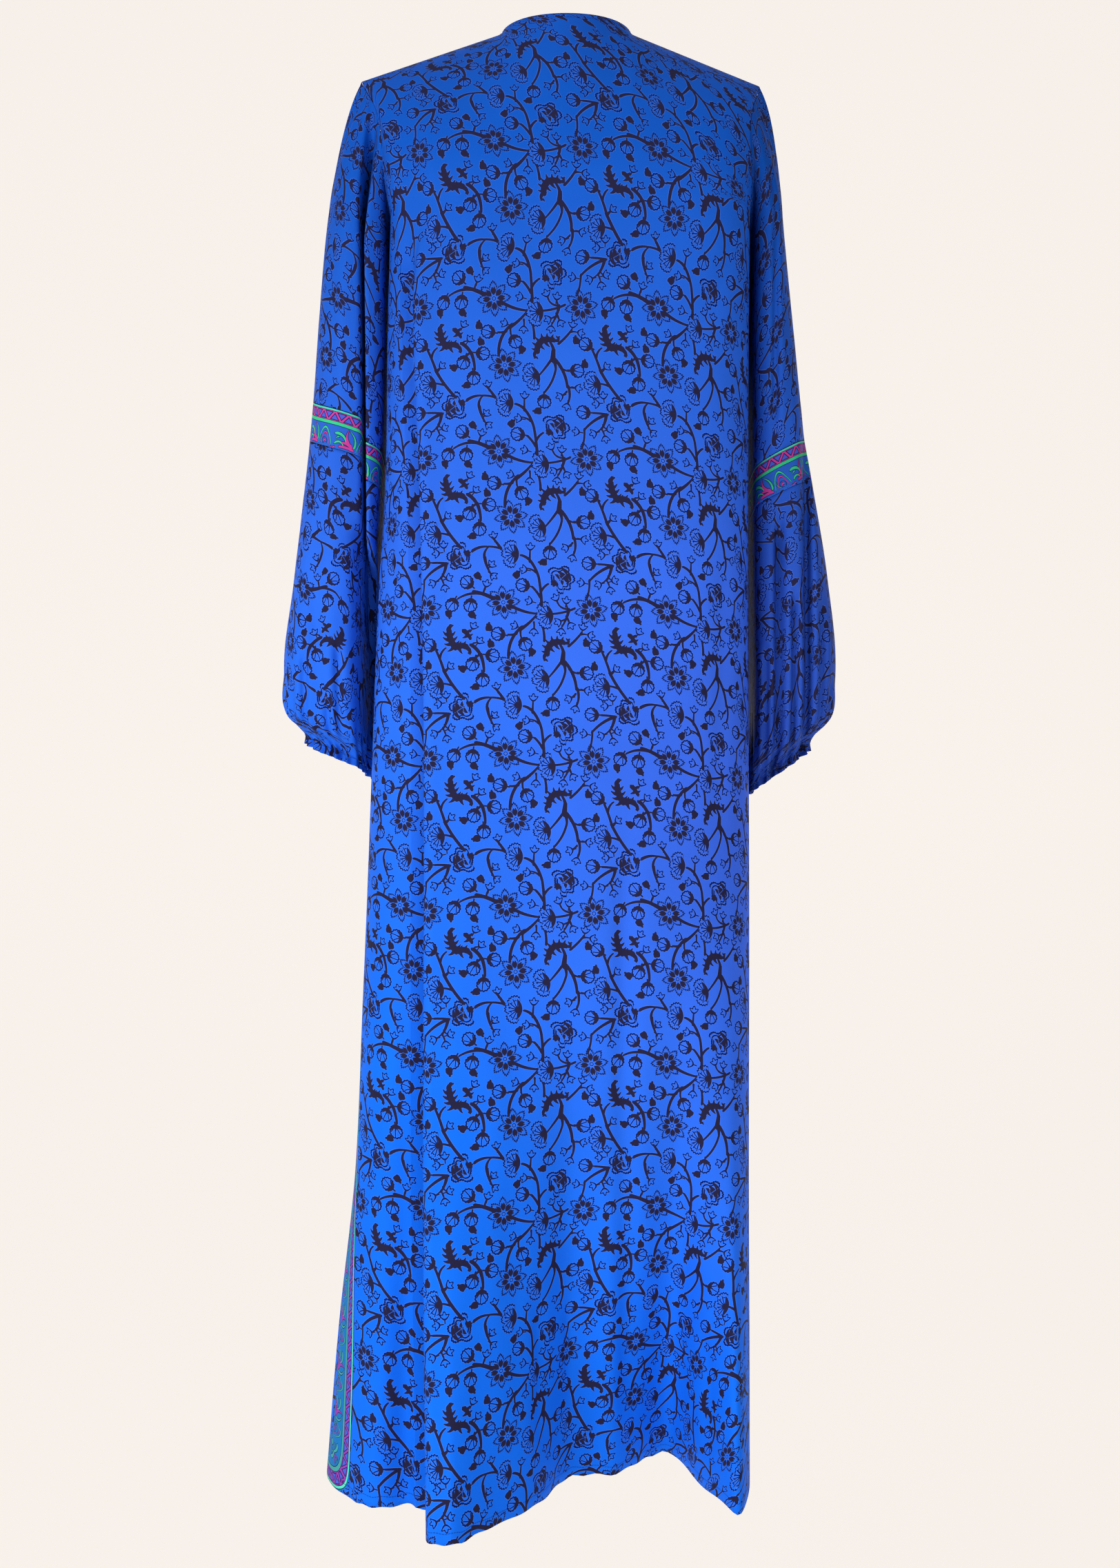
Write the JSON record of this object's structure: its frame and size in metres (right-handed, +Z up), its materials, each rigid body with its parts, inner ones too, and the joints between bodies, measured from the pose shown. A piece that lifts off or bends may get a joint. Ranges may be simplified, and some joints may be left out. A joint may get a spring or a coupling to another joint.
{
  "type": "kaftan maxi dress",
  "caption": "Worn, hollow blue kaftan maxi dress with a floral vine print, long balloon sleeves with scroll bands above the elbow, gathered cuffs and a printed side border",
  "frame": {"origin": "between the two neck points of the shoulder seams, where the wearer's shoulders hold the dress", "axes": "X to the wearer's left, Y to the wearer's back, Z up along the dress"},
  "size_m": [0.5306, 0.4016, 1.3462],
  "materials": {
    "back_cloth": "soft silk-like sheen, printed",
    "front_cloth": "soft silk-like sheen, printed",
    "left_upper_sleeve_cloth": "soft silk-like sheen, printed",
    "left_elbow_band_cloth": "soft silk-like sheen, printed",
    "left_lower_sleeve_cloth": "soft silk-like sheen, printed",
    "left_cuff_cloth": "soft silk-like sheen, printed",
    "right_upper_sleeve_cloth": "soft silk-like sheen, printed",
    "right_elbow_band_cloth": "soft silk-like sheen, printed",
    "right_lower_sleeve_cloth": "soft silk-like sheen, printed",
    "right_cuff_cloth": "soft silk-like sheen, printed"
  },
  "bodies": {
    "root": {"back_panel": "back_cloth", "front_panel": "front_cloth", "left_upper_sleeve": "left_upper_sleeve_cloth", "left_elbow_band": "left_elbow_band_cloth", "left_lower_sleeve": "left_lower_sleeve_cloth", "left_cuff": "left_cuff_cloth", "right_upper_sleeve": "right_upper_sleeve_cloth", "right_elbow_band": "right_elbow_band_cloth", "right_lower_sleeve": "right_lower_sleeve_cloth", "right_cuff": "right_cuff_cloth"}
  },
  "joints": []
}
